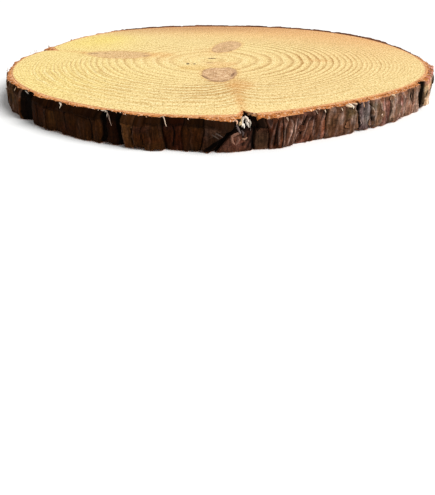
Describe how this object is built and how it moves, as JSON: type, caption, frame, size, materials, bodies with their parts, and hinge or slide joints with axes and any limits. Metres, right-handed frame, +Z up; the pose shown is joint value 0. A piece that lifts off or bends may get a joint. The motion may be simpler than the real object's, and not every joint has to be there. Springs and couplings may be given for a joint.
{
  "type": "wood slice",
  "caption": "Round slice sawn across a pine log, with two flat sawn faces and its rough bark left on all round the edge.",
  "frame": {"origin": "middle of the lower sawn face's box, at the level of the surface that the slice lies on", "axes": "+Z up, square to the sawn faces; -Y towards the folded branch scar at the rim"},
  "size_m": [0.3604, 0.3642, 0.022],
  "materials": {
    "wood": "sawn and sanded pine end grain, unfinished, pale straw with tan growth rings",
    "bark": "rough dry pine bark, dark brown plates with a rust-brown sawn rim"
  },
  "bodies": {
    "root": {"wood": "wood", "bark": "bark"}
  },
  "joints": []
}
